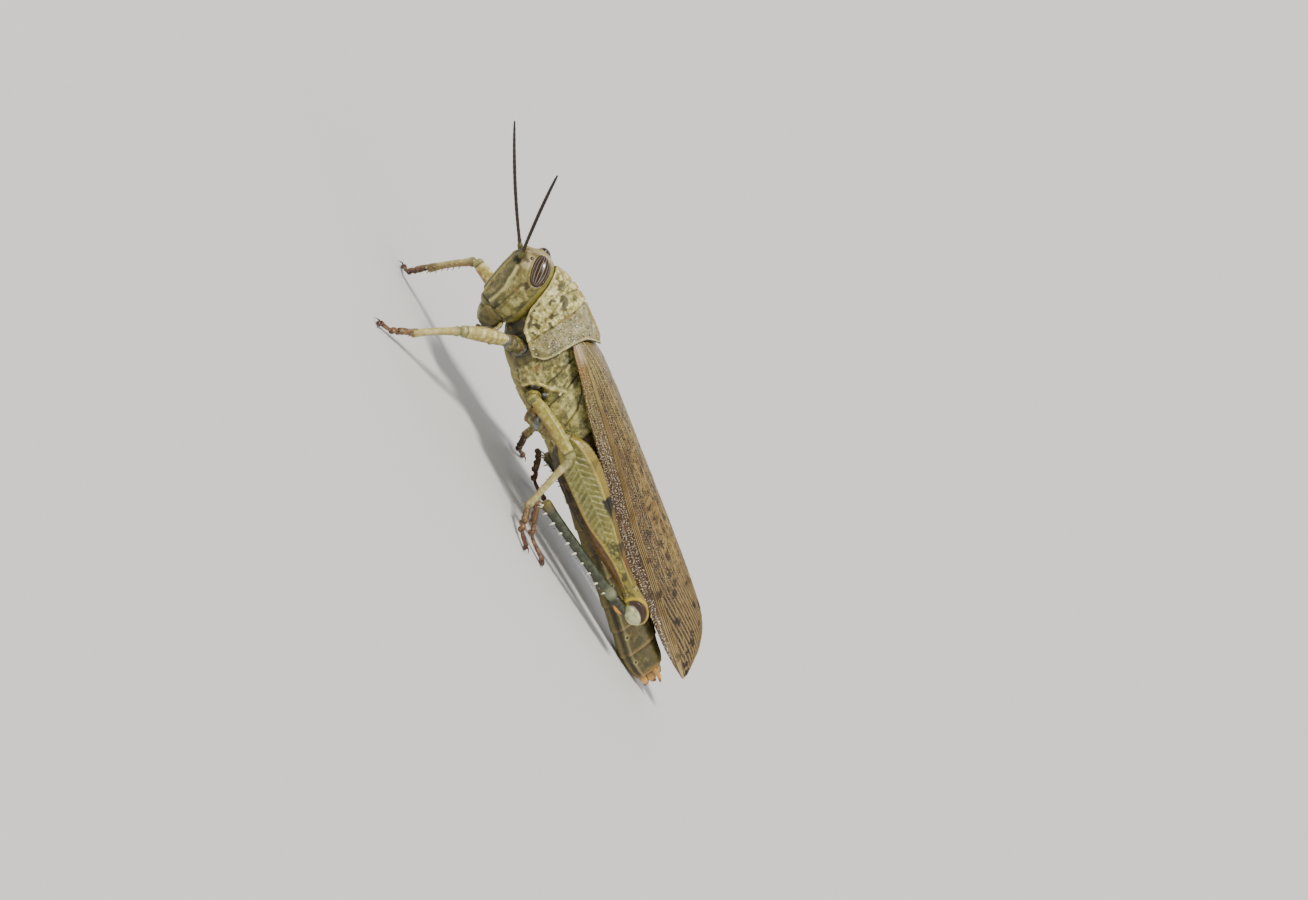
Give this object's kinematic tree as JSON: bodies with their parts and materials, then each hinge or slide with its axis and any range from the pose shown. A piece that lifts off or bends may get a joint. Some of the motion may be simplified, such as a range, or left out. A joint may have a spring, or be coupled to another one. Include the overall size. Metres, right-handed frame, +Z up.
{
  "type": "life-size locust model",
  "caption": "Still, life-size model of an Egyptian locust at rest with folded wings, its jumping legs half folded and its feelers raised.",
  "frame": {"origin": "middle of the bounding box in plan, on the floor that the six feet stand on", "axes": "+X from the head to the tip of the wings, +Y to the animal's right, +Z up"},
  "size_m": [0.0798, 0.0352, 0.03],
  "materials": {
    "olive": "granular olive-green cuticle with darker mottling",
    "buff": "smooth grey-buff cuticle at the leg bases",
    "brown": "glossy dark brown; the eyes carry thin tan stripes",
    "wing": "leathery tan forewing with raised veins and brown spots",
    "pale": "smooth ochre-green cuticle",
    "slate": "smooth grey-green cuticle with pale dark-tipped spines",
    "sole": "reddish brown pads and claws"
  },
  "bodies": {
    "root": {"head": "olive", "eye_left": "brown", "eye_right": "brown", "labrum": "olive", "labium": "olive", "mandible_left": "olive", "mandible_right": "olive", "maxillary_palp_left": "pale", "maxillary_palp_right": "pale", "labial_palp_left": "pale", "labial_palp_right": "pale", "antenna_left": "brown", "antenna_right": "brown", "pronotum": "olive", "prothorax": "olive", "thorax": "olive", "abdomen": "olive", "ovipositor": "sole", "cercus_left": "olive", "cercus_right": "olive", "tegmen_left": "wing", "tegmen_right": "wing", "hindwing_left": "wing", "hindwing_right": "wing", "fore_coxa_left": "buff", "fore_coxa_right": "buff", "fore_femur_left": "pale", "fore_femur_right": "pale", "fore_tibia_left": "pale", "fore_tibia_right": "pale", "fore_tarsus_left": "sole", "fore_tarsus_right": "sole", "mid_coxa_left": "buff", "mid_coxa_right": "buff", "mid_femur_left": "pale", "mid_femur_right": "pale", "mid_tibia_left": "pale", "mid_tibia_right": "pale", "mid_tarsus_left": "sole", "mid_tarsus_right": "sole", "hind_coxa_left": "buff", "hind_coxa_right": "buff", "hind_femur_left": "pale", "hind_femur_right": "pale", "hind_tibia_left": "slate", "hind_tibia_right": "slate", "hind_tarsus_left": "sole", "hind_tarsus_right": "sole"}
  },
  "joints": []
}
